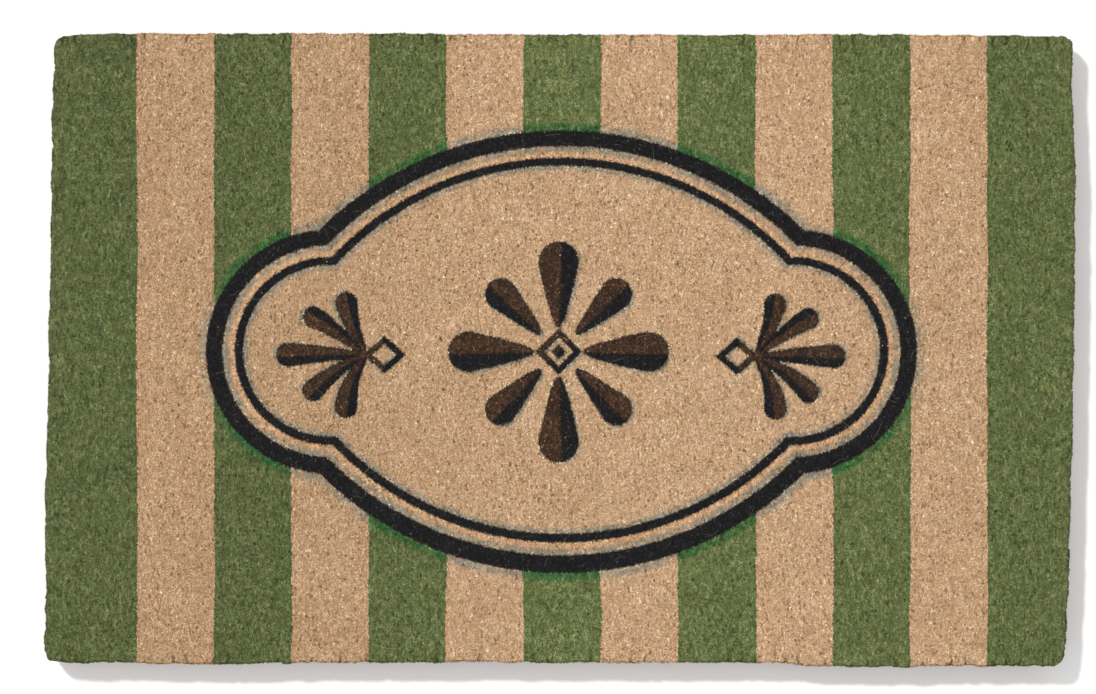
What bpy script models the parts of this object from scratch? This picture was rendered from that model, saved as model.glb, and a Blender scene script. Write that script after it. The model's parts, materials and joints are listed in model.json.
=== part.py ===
"""A thick hand-woven coir door mat with green and natural stripes.

The mat lies flat on z = 0, centred on the origin. X runs along its length, across the stripes, and Y runs
along the stripes. From the floor up it holds a weave of doubled warp yarns that grip one continuous weft
yarn, a lashed braid along each of the four edges, and thirteen sections of upright brush pile on top.
"""

import math

import bmesh
import bpy
from mathutils import Vector

# Driving dimensions, in metres
MAT_LENGTH = 0.9144
MAT_WIDTH = 0.5588
MAT_THICKNESS = 0.038

STRIPE_COUNT = 13
END_STRIPE_WIDTH = 0.0807
PILE_CORNER_RADIUS = 0.009
PILE_EDGE_ROUNDING = 0.004

WARP_COUNT = 36
WARP_YARN_WIDTH = 0.0050
WARP_YARN_HEIGHT = 0.0034
WEFT_PASSES = 71
WEFT_YARN_DIAMETER = 0.0045

BRAID_WIDTH = 0.014
BRAID_ROUNDING = 0.002
TWINE_DIAMETER = 0.0016
LASHING_SPACING = 0.050
EDGE_SETBACK = 0.003

CLEARANCE = 0.0003
WEAVE_CLEARANCE = 0.0005

# How finely round shapes are faceted
WARP_SIDES = 8
WEFT_SIDES = 8
TWINE_SIDES = 4
TURN_STEPS = 6
WEFT_TURN_STEPS = 3
ROUNDING_STEPS = 2
CORNER_STEPS = 3

# Colours as linear RGB
GREEN_PILE = (0.127, 0.168, 0.055)
NATURAL_PILE = (0.509, 0.330, 0.189)
RAW_YARN = (0.330, 0.195, 0.100)
BRAID_YARN = (0.380, 0.235, 0.125)
TWINE = (0.520, 0.400, 0.250)
FIBRE_ROUGHNESS = 0.9


def yarn_reach(size, sides):
    """How far a yarn's corners lie from its centre line, where its flats lie half its size away."""
    return size / 2 / math.cos(math.pi / sides)


# Heights of the weave, from the floor up
WEFT_Z = WARP_YARN_HEIGHT + WEAVE_CLEARANCE + WEFT_YARN_DIAMETER / 2
WEAVE_TOP = 2 * WEFT_Z
PILE_BOTTOM = WEAVE_TOP + CLEARANCE

# Each braid lies inside its lashing, which is as high as the weave
TWINE_ROOM = TWINE_DIAMETER + CLEARANCE
BRAID_HEIGHT = WEAVE_TOP - 2 * TWINE_ROOM
BORDER_DEPTH = EDGE_SETBACK + BRAID_WIDTH + 2 * TWINE_ROOM + CLEARANCE

# The warp turns lie concentric with the first and last weft passes
TURN_RADIUS = WEFT_YARN_DIAMETER / 2 + WEAVE_CLEARANCE + WARP_YARN_HEIGHT / 2
TURN_REACH = TURN_RADIUS + yarn_reach(WARP_YARN_HEIGHT, WARP_SIDES)
WEAVE_HALF_LENGTH = MAT_LENGTH / 2 - BORDER_DEPTH
WEAVE_HALF_WIDTH = MAT_WIDTH / 2 - BORDER_DEPTH
LAST_PASS_X = WEAVE_HALF_LENGTH - CLEARANCE - TURN_REACH
WEFT_PITCH = 2 * LAST_PASS_X / (WEFT_PASSES - 1)
WEFT_TURN_Y = WEAVE_HALF_WIDTH - CLEARANCE - yarn_reach(WEFT_YARN_DIAMETER, WEFT_SIDES) - WEFT_PITCH / 2
LAST_WARP_Y = WEFT_TURN_Y - WARP_YARN_WIDTH / 2
WARP_PITCH = 2 * LAST_WARP_Y / (WARP_COUNT - 1)


def clear_scene():
    for old in list(bpy.data.objects):
        bpy.data.objects.remove(old, do_unlink=True)


def fibre_material(name, colour):
    material = bpy.data.materials.new(name)
    material.use_nodes = True
    shader = material.node_tree.nodes["Principled BSDF"]
    shader.inputs["Base Color"].default_value = (*colour, 1.0)
    shader.inputs["Roughness"].default_value = FIBRE_ROUGHNESS
    shader.inputs["Metallic"].default_value = 0.0
    return material


def add_object(name, mesh, material, parent):
    thing = bpy.data.objects.new(name, mesh)
    bpy.context.scene.collection.objects.link(thing)
    if not mesh.materials:
        mesh.materials.append(material)
    thing.parent = parent
    return thing


def finish_mesh(name, bm):
    bmesh.ops.recalc_face_normals(bm, faces=bm.faces)
    mesh = bpy.data.meshes.new(name)
    bm.to_mesh(mesh)
    bm.free()
    return mesh


def yarn_mesh(name, points, width, height, sides, plane_normal=None):
    """A yarn swept along points. With a plane_normal its width lies along that normal and its height in the
    plane; without one it is round, and its frame is carried from point to point."""
    bm = bmesh.new()
    last = len(points) - 1
    across = plane_normal or Vector((0, 0, 1))
    rings = []
    for i, point in enumerate(points):
        along = (points[min(i + 1, last)] - points[max(i - 1, 0)]).normalized()
        across = (across - along * across.dot(along)).normalized()
        up = along.cross(across)
        ring = []
        for k in range(sides):
            angle = 2 * math.pi * (k + 0.5) / sides
            offset = across * width / 2 * math.cos(angle) + up * height / 2 * math.sin(angle)
            ring.append(bm.verts.new(point + offset))
        rings.append(ring)
    for a, b in zip(rings, rings[1:]):
        for k in range(sides):
            bm.faces.new((a[k], a[(k + 1) % sides], b[(k + 1) % sides], b[k]))
    bm.faces.new(rings[0])
    bm.faces.new(rings[-1])
    return finish_mesh(name, bm)


def flat_sided(size, sides):
    """The corner-to-corner size that puts a yarn's flats exactly its size apart."""
    return 2 * yarn_reach(size, sides)


def stripe_edges():
    """The X of the fourteen edges of the stripes."""
    inner = (MAT_LENGTH - 2 * END_STRIPE_WIDTH) / (STRIPE_COUNT - 2)
    first = -MAT_LENGTH / 2
    inside = [first + END_STRIPE_WIDTH + inner * i for i in range(STRIPE_COUNT - 1)]
    return [first, *inside, MAT_LENGTH / 2]


def section_outline(low_x, high_x, round_low, round_high):
    """The plan of one pile section, counter-clockwise, with rounded mat corners where asked."""
    half = MAT_WIDTH / 2
    corners = [
        (low_x, -half, round_low, 180),
        (high_x, -half, round_high, 270),
        (high_x, half, round_high, 0),
        (low_x, half, round_low, 90),
    ]
    outline = []
    for x, y, rounded, start in corners:
        if not rounded:
            outline.append((x, y))
            continue
        centre_x = x - math.copysign(PILE_CORNER_RADIUS, x)
        centre_y = y - math.copysign(PILE_CORNER_RADIUS, y)
        for step in range(CORNER_STEPS + 1):
            angle = math.radians(start + 90 * step / CORNER_STEPS)
            outline.append(
                (
                    centre_x + PILE_CORNER_RADIUS * math.cos(angle),
                    centre_y + PILE_CORNER_RADIUS * math.sin(angle),
                )
            )
    return outline


def pile_section_mesh(name, low_x, high_x, round_low, round_high):
    """A slab of brush pile. Its top edge is rounded only where it is an edge of the mat."""
    bm = bmesh.new()
    outline = section_outline(low_x, high_x, round_low, round_high)
    base = bm.faces.new([bm.verts.new((x, y, PILE_BOTTOM)) for x, y in outline])
    raised = bmesh.ops.extrude_face_region(bm, geom=[base])["geom"]
    top = [v for v in raised if isinstance(v, bmesh.types.BMVert)]
    bmesh.ops.translate(bm, verts=top, vec=(0, 0, MAT_THICKNESS - PILE_BOTTOM))
    seams = [x for x, is_mat_edge in ((low_x, round_low), (high_x, round_high)) if not is_mat_edge]
    on_top = set(top)
    rim = [
        edge
        for edge in bm.edges
        if on_top.issuperset(edge.verts)
        and not any(all(abs(v.co.x - seam) < CLEARANCE for v in edge.verts) for seam in seams)
    ]
    bmesh.ops.bevel(
        bm, geom=rim, offset=PILE_EDGE_ROUNDING, segments=ROUNDING_STEPS, profile=0.5, affect="EDGES"
    )
    return finish_mesh(name, bm)


def add_pile(parent):
    edges = stripe_edges()
    colours = {
        "green": fibre_material("green_pile", GREEN_PILE),
        "natural": fibre_material("natural_pile", NATURAL_PILE),
    }
    for i in range(STRIPE_COUNT):
        kind = "green" if i % 2 == 0 else "natural"
        is_first = i == 0
        is_last = i == STRIPE_COUNT - 1
        low_x = edges[i] + (0 if is_first else CLEARANCE / 2)
        high_x = edges[i + 1] - (0 if is_last else CLEARANCE / 2)
        name = f"pile_{kind}_{i // 2 + 1}"
        mesh = pile_section_mesh(name, low_x, high_x, is_first, is_last)
        add_object(name, mesh, colours[kind], parent)


def weft_path():
    """The weft's centre line: straight passes along Y, joined by half turns at alternate ends."""
    points = []
    for i in range(WEFT_PASSES):
        x = -LAST_PASS_X + WEFT_PITCH * i
        end = 1 if i % 2 == 0 else -1
        points.append(Vector((x, -end * WEFT_TURN_Y, WEFT_Z)))
        points.append(Vector((x, end * WEFT_TURN_Y, WEFT_Z)))
        if i == WEFT_PASSES - 1:
            continue
        for step in range(1, WEFT_TURN_STEPS):
            angle = math.pi * step / WEFT_TURN_STEPS
            points.append(
                Vector(
                    (
                        x + WEFT_PITCH / 2 * (1 - math.cos(angle)),
                        end * (WEFT_TURN_Y + WEFT_PITCH / 2 * math.sin(angle)),
                        WEFT_Z,
                    )
                )
            )
    return points


def add_weft(parent):
    size = flat_sided(WEFT_YARN_DIAMETER, WEFT_SIDES)
    mesh = yarn_mesh("weft_yarn", weft_path(), size, size, WEFT_SIDES, Vector((0, 0, 1)))
    add_object("weft_yarn", mesh, fibre_material("weft_coir", RAW_YARN), parent)


def warp_path():
    """One doubled warp yarn: a leg under the weft, a half turn round the last pass, and a leg over it."""
    cut_end = -LAST_PASS_X - TURN_RADIUS
    points = [Vector((cut_end, 0, WEFT_Z - TURN_RADIUS))]
    for step in range(TURN_STEPS + 1):
        angle = math.pi * step / TURN_STEPS - math.pi / 2
        points.append(
            Vector((LAST_PASS_X + TURN_RADIUS * math.cos(angle), 0, WEFT_Z + TURN_RADIUS * math.sin(angle)))
        )
    points.append(Vector((cut_end, 0, WEFT_Z + TURN_RADIUS)))
    return points


def add_warps(parent):
    """The warps share one mesh. Every second one is turned round, so that their cut ends alternate."""
    width = flat_sided(WARP_YARN_WIDTH, WARP_SIDES)
    height = flat_sided(WARP_YARN_HEIGHT, WARP_SIDES)
    mesh = yarn_mesh("warp_yarn", warp_path(), width, height, WARP_SIDES, Vector((0, 1, 0)))
    material = fibre_material("warp_coir", RAW_YARN)
    for i in range(WARP_COUNT):
        warp = add_object(f"warp_yarn_{i + 1:02d}", mesh, material, parent)
        warp.location = (0, -LAST_WARP_Y + WARP_PITCH * i, 0)
        warp.rotation_euler = (0, 0, math.pi * (i % 2))


def braid_mesh(name, length):
    """A plaited edge as a plain bar along X with rounded edges, centred on its own origin."""
    bm = bmesh.new()
    bmesh.ops.create_cube(bm, size=1.0)
    bmesh.ops.scale(bm, verts=bm.verts, vec=(length, BRAID_WIDTH, BRAID_HEIGHT))
    bmesh.ops.bevel(
        bm,
        geom=list(bm.edges),
        offset=BRAID_ROUNDING,
        segments=ROUNDING_STEPS,
        profile=0.5,
        affect="EDGES",
    )
    return finish_mesh(name, bm)


def lashing_path(length):
    """Twine wound round a bar along X: each turn is a rectangle with its four corners cut."""
    turns = max(2, round(length / LASHING_SPACING))
    half_y = BRAID_WIDTH / 2 + CLEARANCE + TWINE_DIAMETER / 2
    half_z = BRAID_HEIGHT / 2 + CLEARANCE + TWINE_DIAMETER / 2
    cut = TWINE_DIAMETER
    turn = [
        (half_y, -half_z + cut),
        (half_y, half_z - cut),
        (half_y - cut, half_z),
        (-half_y + cut, half_z),
        (-half_y, half_z - cut),
        (-half_y, -half_z + cut),
        (-half_y + cut, -half_z),
        (half_y - cut, -half_z),
    ]
    count = turns * len(turn)
    reach = length - 2 * TWINE_DIAMETER
    points = []
    for i in range(count + 1):
        y, z = turn[i % len(turn)]
        points.append(Vector((reach * (i / count - 0.5), y, z)))
    return points


def add_edge(side, centre, turned, length, braid_material, twine_material, parent):
    """One lashed braid. turned is its rotation about Z."""
    braid_name = f"edge_braid_{side}"
    lashing_name = f"lashing_{side}"
    twine = yarn_mesh(lashing_name, lashing_path(length), TWINE_DIAMETER, TWINE_DIAMETER, TWINE_SIDES)
    for thing in (
        add_object(braid_name, braid_mesh(braid_name, length), braid_material, parent),
        add_object(lashing_name, twine, twine_material, parent),
    ):
        thing.location = (*centre, WEAVE_TOP / 2)
        thing.rotation_euler = (0, 0, turned)


def add_edges(parent):
    """The front and back braids run the whole length, and the side braids end between them."""
    to_centre = EDGE_SETBACK + TWINE_ROOM + BRAID_WIDTH / 2
    braid_x = MAT_LENGTH / 2 - to_centre
    braid_y = MAT_WIDTH / 2 - to_centre
    long_braid = MAT_LENGTH - 2 * (EDGE_SETBACK + TWINE_ROOM)
    short_braid = 2 * WEAVE_HALF_WIDTH
    braid = fibre_material("edge_braid_coir", BRAID_YARN)
    twine = fibre_material("lashing_twine", TWINE)
    add_edge("front", (0, -braid_y), math.pi, long_braid, braid, twine, parent)
    add_edge("back", (0, braid_y), 0, long_braid, braid, twine, parent)
    add_edge("left", (-braid_x, 0), math.pi / 2, short_braid, braid, twine, parent)
    add_edge("right", (braid_x, 0), -math.pi / 2, short_braid, braid, twine, parent)


def main():
    clear_scene()
    mat = bpy.data.objects.new("door_mat", None)
    bpy.context.scene.collection.objects.link(mat)
    add_pile(mat)
    add_weft(mat)
    add_warps(mat)
    add_edges(mat)


main()
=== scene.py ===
"""The looks of the striped coir door mat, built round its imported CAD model.

The pile is real geometry: a felt of fibre with cut tufts standing in it, each tinted where it stands by the
dye and ink of the design. Under it lie the twisted yarns of the weave, the plaited edges and their lashing.
"""

import json
import math

import bpy
import numpy as np
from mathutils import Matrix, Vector

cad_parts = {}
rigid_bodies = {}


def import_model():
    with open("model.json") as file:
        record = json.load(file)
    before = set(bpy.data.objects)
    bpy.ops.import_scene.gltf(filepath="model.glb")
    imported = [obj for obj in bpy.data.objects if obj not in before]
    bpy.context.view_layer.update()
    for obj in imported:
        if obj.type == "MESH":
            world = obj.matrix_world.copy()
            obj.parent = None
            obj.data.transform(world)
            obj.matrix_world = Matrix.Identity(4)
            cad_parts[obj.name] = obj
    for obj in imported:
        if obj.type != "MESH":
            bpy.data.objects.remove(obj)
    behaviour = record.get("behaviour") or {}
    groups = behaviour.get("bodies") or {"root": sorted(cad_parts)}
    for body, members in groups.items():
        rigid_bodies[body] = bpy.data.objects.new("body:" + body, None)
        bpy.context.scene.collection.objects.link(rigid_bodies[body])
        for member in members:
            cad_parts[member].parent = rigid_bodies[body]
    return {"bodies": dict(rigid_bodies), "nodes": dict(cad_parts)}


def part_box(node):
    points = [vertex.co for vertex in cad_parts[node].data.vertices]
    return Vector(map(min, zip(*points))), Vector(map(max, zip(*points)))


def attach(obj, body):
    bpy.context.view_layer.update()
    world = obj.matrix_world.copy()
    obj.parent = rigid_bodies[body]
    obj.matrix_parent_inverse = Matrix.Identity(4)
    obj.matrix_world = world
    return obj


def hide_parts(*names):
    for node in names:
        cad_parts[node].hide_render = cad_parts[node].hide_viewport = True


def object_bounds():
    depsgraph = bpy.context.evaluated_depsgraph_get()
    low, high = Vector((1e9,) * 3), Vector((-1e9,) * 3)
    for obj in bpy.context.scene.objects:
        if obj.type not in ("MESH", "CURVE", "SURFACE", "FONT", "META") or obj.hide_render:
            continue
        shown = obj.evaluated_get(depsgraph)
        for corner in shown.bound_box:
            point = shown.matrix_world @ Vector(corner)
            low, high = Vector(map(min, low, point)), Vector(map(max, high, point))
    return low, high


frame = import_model()
CAD_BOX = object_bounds()

MM = 0.001
SEED = 41  # of the random draws. Noises and spots have seeds of their own.

# ------------ sizes, from the frame
BODY = next(iter(frame["bodies"]))
HALF_LENGTH, HALF_WIDTH, MAT_TOP = Vector(CAD_BOX[1])
PILE_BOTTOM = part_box("pile_green_1")[0].z
PILE_NODES = sorted(
    (name for name in frame["nodes"] if name.startswith("pile_")),
    key=lambda name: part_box(name)[0].x,
)
STRIPE_LINES = [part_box(name)[0].x for name in PILE_NODES[1:]]

# ------------ the pile's outline and top
CORNER_RADIUS = 10 * MM
# How far the pile of each side stands in from its true line, in mm, at places along it from -1 to 1
LEFT_WAVER = (
    (-1, -2.0), (-0.8, -0.4), (-0.55, -1.2), (-0.3, 0.5), (0, 2.3), (0.45, 4.1), (0.8, 5.6), (1, 8.0),
)
RIGHT_WAVER = (
    (-1, 12.0), (-0.8, 8.9), (-0.55, 6.7), (-0.2, 4.8), (0.25, 2.5), (0.6, 2.4), (0.85, 5.4), (1, 4.0),
)
BACK_WAVER = (
    (-1, 1.0), (-0.85, -1.0), (-0.3, -0.9), (0.3, 0.2), (0.5, -0.9), (0.75, 0.5), (1, 1.6),
)
FRONT_WAVER = (
    (-1, 3.2), (-0.7, 0.9), (-0.5, 2.4), (0.42, 2.4), (0.48, -0.3), (0.6, -1.9), (0.75, -0.6), (1, -0.3),
)
BROAD_STRAY, BROAD_BAY = 0.8 * MM, 14 * MM
FINE_STRAY, FINE_BAY = 0.5 * MM, 4.6 * MM
# What lies below follows the waver near the sides only, from and to these shares of the mat's half size
BENT_ALONG, BENT_ACROSS = (0.55, 0.98), (0.5, 0.98)

# A noise is one or more layers: height, squeeze along x, size of its features, and seed
STRIPE_WANDER = ((0.9 * MM, 1, 45 * MM, 5), (0.45 * MM, 1, 5 * MM, 6))
BUMPS = ((0.22 * MM, 1.5, 4 * MM, 11), (0.3 * MM, 1, 14 * MM, 12))
ROW_WANDER = ((0.8 * MM, 1, 40 * MM, 13),)
CHAIN_WANDER = ((0.8 * MM, 1, 40 * MM, 14),)
TOP_ROOM = 0.5 * MM
ROW_PITCH, ROW_HOLLOW = 12.3 * MM, 0.22 * MM
CHAIN_PITCH, CHAIN_HOLLOW = 14.1 * MM, 0.30 * MM
EDGE_ROUNDING, ROUNDING_STEEPNESS, ROUNDING_DROP = 5 * MM, 0.98, 0.6
CREASE_DEPTH = 2.0 * MM
UNCREASED_SHARE = 0.6  # of the rows at the front and back
CREASE_LENGTH, CREASE_EXTRA, CREASE_FULL = 5 * MM, 11 * MM, 0.2
CREASE_WALL = (0.3 * MM, 1.9 * MM)
CREASE_WIND, CREASE_WIND_PITCH = 0.8 * MM, 1.7 * MM

# ------------ tufts and felt
TUFT_SPACING = 1.2 * MM
TUFT_LENGTH = 5.0 * MM
TUFT_JITTER, TUFT_RADIUS = 0.36, (0.62, 0.86)  # of the spacing
TUFT_BREADTH = 1.15  # of its top, across the mat
TUFT_TILT = 0.22
TUFT_UNEVENNESS = 0.13  # mm
TUFT_LEAN, EDGE_LEAN = 0.35, 0.4  # mm, of its root
LOW_TUFTS, LOW_TUFT_DROP = 0.03, (0.5, 1.2)  # share, and mm
ROOT_SHADE, CREASE_SHADE = 0.6, 0.45
TOP_ROUNDNESS = 0.25
TUFT_FLANKS = ((0, 1), (1, 2), (2, 0))  # the top's corners beside each flank
BLOCK_NAMES = ("front", "middle", "back")
GRID_MARGIN = 5 * MM
MAP_COLUMNS, MAP_EDGE, MAP_COLUMN_WIDTH, MAP_TUFT = 2, 0.01, 0.47, 0.47

FELT_DEPTH = 1.5 * MM
FELT_SPACING = 2.5 * MM
FELT_GAP = 0.15 * MM
FELT_OVERLAP = 0.4 * MM  # under the rim's tufts
FELT_ROUGHNESS, FELT_UNDERSIDE_ROUGHNESS = 0.25, 0.5  # mm
FELT_SHADE, UNDERSIDE_SHADE = 0.7, -0.35  # the second is a power of e

# ------------ rim tufts and loose fibres
STRAND_SIDES = 3
RIM_DEPTH = 3.4 * MM
RIM_OUTERMOST = -0.1 * MM
RIM_SPACING, RIM_JITTER = 0.9 * MM, 0.35  # the jitter is a share of the spacing
RIM_ROOT_Z, RIM_ROOT_RISE = PILE_BOTTOM - 0.6 * MM, 0.4
# Where a rim tuft's points are from root to tip, how far each splays in mm, and how thick it is there
RIM_LEVELS = ((0.0, -2.4), (0.12, -0.8), (0.4, 0.35), (0.78, 0.3), (1.0, -0.45))
RIM_TAPER = (0.85, 1.05, 1.15, 1.15, 0.95)
RIM_RADIUS = (0.42, 0.62)  # mm
RIM_UNEVENNESS, RIM_WANDER = 0.2, 0.3  # mm
RIM_CLUMPS = ((0.5 * MM, 1, 4.5 * MM, 51),)
RIM_SWAY, RIM_SWAY_SHARE = ((0.7 * MM, 1, 5 * MM, 52),), 0.8
RIM_CREASE_SHADE, RIM_TINT = 0.5, 0.95
RIM_ROOT_SHADE, RIM_ROOT_SHADE_TO = 0.7, 0.4
DYE_DEPTH, DYE_DEPTH_SPREAD = 9 * MM, 0.2
DYE_FRONT = (-0.5, 0.6)  # where 1 is the tip and 0 is the dye's depth
RAW_SPREAD = 0.28
# Each kind of loose fibre: how many, points, lengths in mm, curl, half thickness in mm, and rise above the
# tufts in mm at a share s of the length
LOOSE_FIBRES = {
    "fibres_long": (330, 9, (8, 28), 0.35, 0.19, lambda s, chance: 0.75 * arch(s) ** 0.5 - 0.5),
    "fibres_short": (2600, 5, (2.5, 8), 0.3, 0.17, lambda s, chance: 0.6 * arch(s) - 0.35),
    "fibres_upright": (2200, 5, (0.8, 3.5), 0.3, 0.15, lambda s, chance: (1.5 + 1.3 * chance) * s - 1),
}
FIBRE_MARGIN = 2 * MM
FIBRE_SPAN = 0.985  # of the mat's half size
DARK_FIBRES = 0.3

# ------------ the print, in metres from the mat's centre
MEDALLION_CENTRE = (-0.4 * MM, -1.5 * MM)
LENS_RADIUS = 305.5 * MM
LENS_OFFSET = 109.3 * MM
LOBE_RADIUS = 110.6 * MM
LOBE_FLATTENING = 1.02
LOBE_OFFSET = 204.4 * MM
BAND_WIDTH = 15.3 * MM
LINE_FROM, LINE_WIDTH = 25.4 * MM, 8.0 * MM
LINE_TO = LINE_FROM + LINE_WIDTH
LINES_THICKEN = 0.065
# Each halo fades between these distances inwards from its line
OUTER_HALO, INNER_HALO = (-8.1 * MM, -4.5 * MM), (4.2 * MM, 6.6 * MM)
PAST_LINE_HALO = (2.8 * MM, 5.0 * MM)
SIDE_HALO, SIDE_HALO_LOSS = (285 * MM, 310 * MM), 0.4
HALO_STRENGTH = 0.82
HALO_PATCHES = ((0.6, 1, 3 * MM, 21), (0.3, 1, 11 * MM, 22))
STRIPE_EDGE = (0.8 * MM, 3.6 * MM)

ORNAMENT_REACH = 105 * MM
SIDE_MIRROR_SHIFT = 2 * MM
LEFT_SIDE_DROP, RIGHT_SIDE_DROP = 1.9 * MM, 3.4 * MM
# Each petal: root, bow and tip in mm, half widths in mm, and the side of its run that is brown (1 is left)
SIDE_PETALS = (
    ((-175.0, 2.5), (-187, 22), (-190.8, 43.5), 2.4, 10.1, 1),
    ((-177.0, 0.5), (-200, 20), (-219.6, 31.0), 2.2, 9.9, 1),
    ((-175.0, -1.8), (-209, -1.2), (-242.2, -2.3), 2.0, 11.0, -1),
    ((-177.0, -4.0), (-202, -15), (-220.0, -34.0), 2.2, 9.9, -1),
    ((-175.0, -6.5), (-189, -24), (-191.0, -48.0), 2.4, 10.4, -1),
)
SIDE_HUB, SIDE_HUB_RADIUS = (-175.4 * MM, -1.9 * MM), 4.6 * MM
SIDE_DIAMOND = (-157.0 * MM, -2.2 * MM)
SIDE_DIAMOND_SIZES = (19.4 * MM, 17.2 * MM, 6.2 * MM)  # half length, half height and wall
SIDE_BROWN_RIM, SIDE_BROWN_FROM = 0.5 * MM, 2 * MM
CENTRE_HUB = (-3.0 * MM, -1.5 * MM)
CENTRE_DIAMONDS = ((21 * MM, 6.0 * MM), (7 * MM, 7 * MM))  # half diagonal and wall
CENTRE_PETAL_COUNT = 8
CENTRE_ROOT, CENTRE_BOW, CENTRE_ROOT_HALF = 25, 50, 3.2  # mm
LONG_PETAL, SHORT_PETAL = (80, 18.0), (72, 14.5)  # tip and half width, in mm
PETAL_STEPS, PETAL_SWELL = 15, 0.8
BROWN_FROM, BROWN_RIM = -0.12, 0.9 * MM
# An ornament's pale shadow lies outwards at the sides, and to the lower right in the middle
SIDE_ORNAMENTS_FROM = 130 * MM
SIDE_SHADOW, CENTRE_SHADOW = (2.4 * MM, 0.4 * MM), (1.8 * MM, -1.6 * MM)
SHADOW_EDGE = (-0.9 * MM, 0.3 * MM)
INK_CLEAR, INK_BLACK, INK_BROWN = 0, 1, 2
MISSED_SHARE, MISSED_SHADE = 0.003, 0.45

# ------------ colours, as a screen shows them (sRGB, 0-255)
NATURAL = (191, 156, 119)
GREEN = (96, 105, 61)
BLACK_INK = (20, 19, 21)
BROWN_INK = (66, 45, 30)
GREY_HALO = (152, 142, 122)
GREEN_HALO = (52, 101, 49)
WARM_STRIP = (207, 166, 125)
RAW_COIR = (168, 136, 102)
PALE_FIBRE = (222, 204, 168)
YARN_COIR = (158, 121, 84)
TWINE_COLOUR = (186, 164, 128)
# How much each stripe colour is brightened from the left end to the right one, where the mat's middle is the
# lightest
NATURAL_BRIGHTENING = ((-0.9, 1.0), (-0.45, 1.02), (-0.15, 1.12), (0.45, 1.14), (0.9, 1.08))
GREEN_BRIGHTENING = (
    (-0.9, 1.0), (-0.6, 1.0), (-0.3, 1.09), (0, 1.31), (0.3, 1.24), (0.6, 1.18), (0.9, 1.09),
)
NATURAL_PALING = (0.0, 0.15, 0.45)
NATURAL_EDGE, GREEN_EDGE = (0.05, -0.05, -0.05), (-0.22, 0.0, -0.10)

# How fibres differ. In a pair the first number is for dyed fibre and the second for natural.
SINGLE_GRAIN, CLUMP_GRAIN, STREAK_GRAIN = (0.10, 0.13), (0.155, 0.12), 0.09
GRAIN_CONTRAST = (1.95, 0.95)
CLUMPS = ((1, 1.5, 2.6 * MM, 32), (0.6, 1.8, 6 * MM, 35))
STREAKS = ((1, 3, 3.6 * MM, 36),)
SWELL = ((0.035, 1, 24 * MM, 31),)
INKED_GRAIN, INKED_GLINT, INKED_DULL_SHARE = 0.45, 2.6, 0.985
# Spots: the cell that holds one or none, the radius, the share of cells with one, and the seed
HUSK_FLECKS, HUSK_DARKNESS = (3.6 * MM, 0.9 * MM, 0.22, 33), 0.66
LONG_FLECKS, LONG_DARKNESS = (3.1 * MM, 0.9 * MM, 0.24, 37), (0.62, 0.45)
PALE_FLECKS, PALE_BRIGHTNESS = (5.1 * MM, 1.0 * MM, 0.22, 34), (0.25, 0.45)
LONG_FLECK_STRETCH, PALE_FLECK_SHIFT, PALE_SINGLES_FROM = 0.7, 3 * MM, 0.993
DYED_PALING, UNDYED_PALING, PALING_LIMITS = (0.10, 0.0, 0.35), (0.0, 0.26, 0.65), (-0.6, 1.0)
HUE_SPREAD = 0.03

# ------------ weave, plaits and lashing
# Each yarn: plies, length of one turn, depth of its grooves, corners of its section, and rows of its map
WEFT_MAKE = (2, 15 * MM, 0.10, 6, 60)
WARP_MAKE = (2, 18 * MM, 0.08, 6, 10)
STRAND_MAKE = (3, 13 * MM, 0.09, 10, 12)
TWINE_MAKE = (2, 6 * MM, 0.10, 8, 12)
WEFT_STEP, WARP_STEP, STRAND_STEP, TWINE_STEP = 3.0 * MM, 4.0 * MM, 1.4 * MM, 0.8 * MM
YARN_FUZZ, YARN_END = 0.03, 0.6
GROOVE_SHADE, YARN_SHADE_SPREAD = 0.62, 0.10
WEFT_PASSES = 71
WEFT_TURN_POINTS, WARP_TURN_POINTS = 8, 9
WARP_HEIGHT, WARP_FILL = 3.3 * MM, 0.96
WARP_PRESS = 0.3 * MM
STRANDS = 3
STRAND_WIDTH, STRAND_HEIGHT = 0.39, 0.50  # of the plait's
PLAIT_PITCH, PLAIT_END = 44 * MM, 1 * MM
LASHING_SPACING, LASHING_START = 50 * MM, -0.5
LASHING_SQUARENESS = 0.55
LASHING_POINTS = 40  # of one turn
TWINE_THICKNESS = 1.6 * MM
TWINE_BITE = 1.7  # of its thickness

# ------------ finishes, floor, light and camera
# Each finish: stretch and fineness of its grain, contrast of its colour, and strength of its bump
FINISHES = {
    "coir_tips": ((1, 1, 0.35), 1400, 0.10, 0.15),
    "coir_felt": ((1, 1, 0.5), 900, 0.30, 0.5),
    "coir_yarn": ((1, 1, 1), 1100, 0.30, 0.6),
    "coir_braid": ((1, 1, 1), 1000, 0.32, 0.6),
    "twine": ((1, 1, 1), 1600, 0.20, 0.5),
}
COIR_ROUGHNESS = (0.95, 0.72)
BUMP_DISTANCE = 0.3 * MM
FLOOR_STEPS = 96
# The floor's radius and height, from its middle outwards
FLOOR_PROFILE = ((2.5, 0.0), (5.0, 0.0), (6.0, 0.05), (7.0, 0.2), (8.0, 0.48), (10.0, 1.2), (16.0, 3.4))
SKY_STRENGTH = 0.70
SUN_STRENGTH, SUN_SIZE, SUN_FROM = 2.15, math.radians(5), (-0.53, 0.56, 1.0)
CAMERA_PLACE = (-12.4 * MM, 2.7 * MM, 4.0)
VIEW_WIDTH = 970 * MM
SENSOR_WIDTH = 36


# ------------ sums


def linear(colour):
    """Linear RGB, 0 to 1, of a screen colour given from 0 to 255."""
    c = np.asarray(colour, float) / 255
    return np.where(c <= 0.04045, c / 12.92, ((c + 0.055) / 1.055) ** 2.4)


def smooth(low, high, value):
    """0 below low, 1 above high, and a smooth step between."""
    t = np.clip((value - low) / (high - low), 0, 1)
    return t * t * (3 - 2 * t)


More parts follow.
